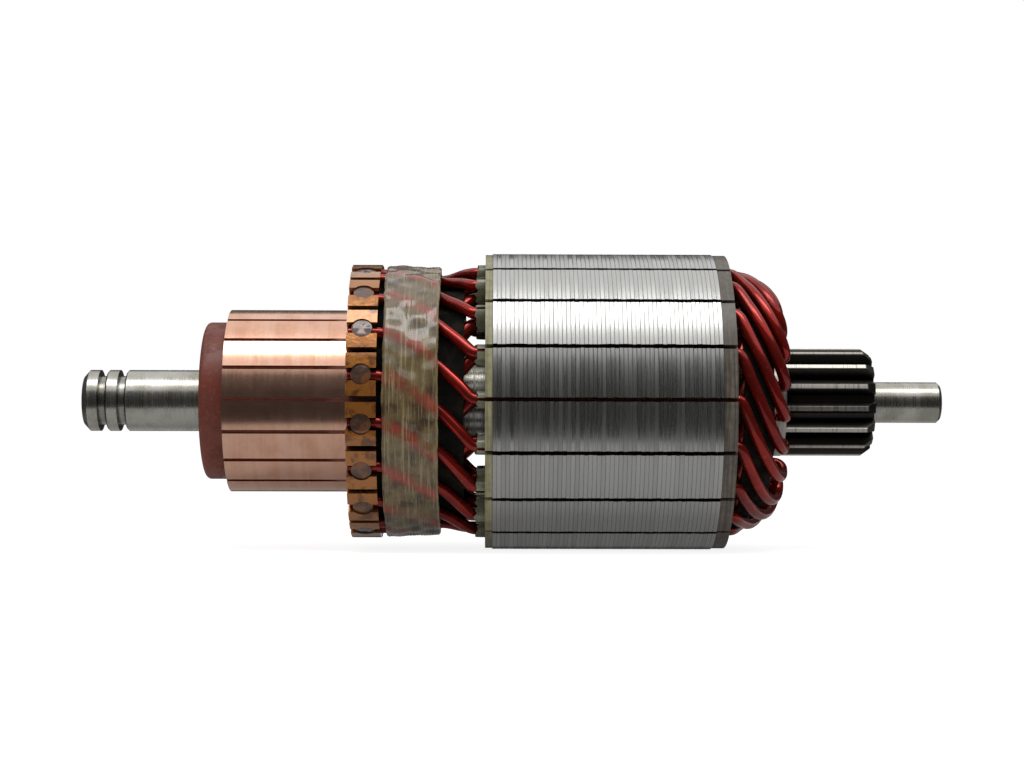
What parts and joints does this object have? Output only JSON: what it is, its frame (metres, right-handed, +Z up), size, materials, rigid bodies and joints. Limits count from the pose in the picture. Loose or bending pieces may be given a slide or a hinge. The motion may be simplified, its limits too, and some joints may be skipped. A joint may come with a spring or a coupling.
{
  "type": "motor armature",
  "caption": "Armature of a geared DC motor: laminated slotted core, red hairpin winding, commutator with slotted risers, and a pinion cut on its shaft.",
  "frame": {"origin": "on the shaft's axis, at the middle of the commutator-end journal", "axes": "+X along the shaft from the commutator towards the pinion, +Z up, slot number 18 faces -Y"},
  "size_m": [0.1681, 0.058, 0.058],
  "materials": {
    "ground_steel": "ground bearing steel with a thin oil film, dark between the pinion teeth",
    "moulding_compound": "moulded brick-red phenolic, slightly mottled",
    "commutator_copper": "turned copper on the brush track, amber varnish on the risers",
    "core_steel": "ground laminated electrical steel with fine joint lines",
    "green_board": "varnished green-yellow insulating board",
    "brown_fibre": "dark brown vulcanised fibre with fine ply lines",
    "liner_film": "pale grey-green insulating film",
    "layer_sheet": "nearly black varnished insulating sheet",
    "glass_band": "resin-soaked glass-fibre binding, olive brown, ragged at its edges",
    "enamelled_wire": "deep red enamelled round copper wire under glossy varnish"
  },
  "bodies": {
    "root": {"shaft": "ground_steel", "commutator_hub": "moulding_compound", "core_stack": "core_steel", "front_end_plate": "green_board", "rear_end_plate": "brown_fibre", "slot_liners": "liner_film", "front_layer_sheet": "layer_sheet", "rear_layer_sheet": "layer_sheet", "binding_band": "glass_band", "commutator_bar_01": "commutator_copper", "commutator_bar_02": "commutator_copper", "commutator_bar_03": "commutator_copper", "commutator_bar_04": "commutator_copper", "commutator_bar_05": "commutator_copper", "commutator_bar_06": "commutator_copper", "commutator_bar_07": "commutator_copper", "commutator_bar_08": "commutator_copper", "commutator_bar_09": "commutator_copper", "commutator_bar_10": "commutator_copper", "commutator_bar_11": "commutator_copper", "commutator_bar_12": "commutator_copper", "commutator_bar_13": "commutator_copper", "commutator_bar_14": "commutator_copper", "commutator_bar_15": "commutator_copper", "commutator_bar_16": "commutator_copper", "commutator_bar_17": "commutator_copper", "commutator_bar_18": "commutator_copper", "coil_01": "enamelled_wire", "coil_02": "enamelled_wire", "coil_03": "enamelled_wire", "coil_04": "enamelled_wire", "coil_05": "enamelled_wire", "coil_06": "enamelled_wire", "coil_07": "enamelled_wire", "coil_08": "enamelled_wire", "coil_09": "enamelled_wire", "coil_10": "enamelled_wire", "coil_11": "enamelled_wire", "coil_12": "enamelled_wire", "coil_13": "enamelled_wire", "coil_14": "enamelled_wire", "coil_15": "enamelled_wire", "coil_16": "enamelled_wire", "coil_17": "enamelled_wire", "coil_18": "enamelled_wire"}
  },
  "joints": []
}
